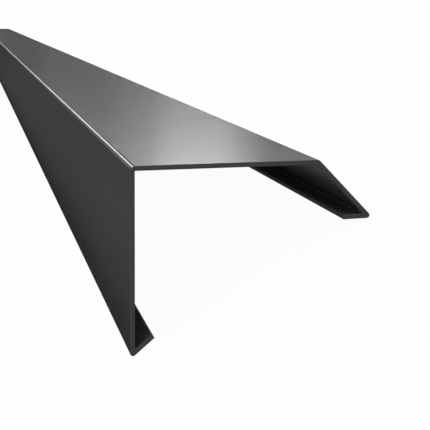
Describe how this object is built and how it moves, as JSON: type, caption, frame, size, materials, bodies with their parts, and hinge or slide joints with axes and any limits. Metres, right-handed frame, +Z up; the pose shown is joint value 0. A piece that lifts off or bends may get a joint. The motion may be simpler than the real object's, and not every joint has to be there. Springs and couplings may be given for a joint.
{
  "type": "drip edge flashing",
  "caption": "Folded metal drip edge for a roof edge: level flange, fascia leg with a turned-in lip, and a sloping drip face with a short return.",
  "frame": {"origin": "centre of the bounding box in plan, at floor level", "axes": "+Y along the run, +Z up as it stands unheld on its two folded edges, +X from the leg to the drip face; in use the part is rolled 27.3 degrees back about Y, so that the leg hangs plumb and the flange is level"},
  "size_m": [0.1184, 2.5, 0.0706],
  "materials": {
    "coating": "satin anthracite grey powder coating"
  },
  "bodies": {
    "root": {"folded_profile": "coating"}
  },
  "joints": []
}
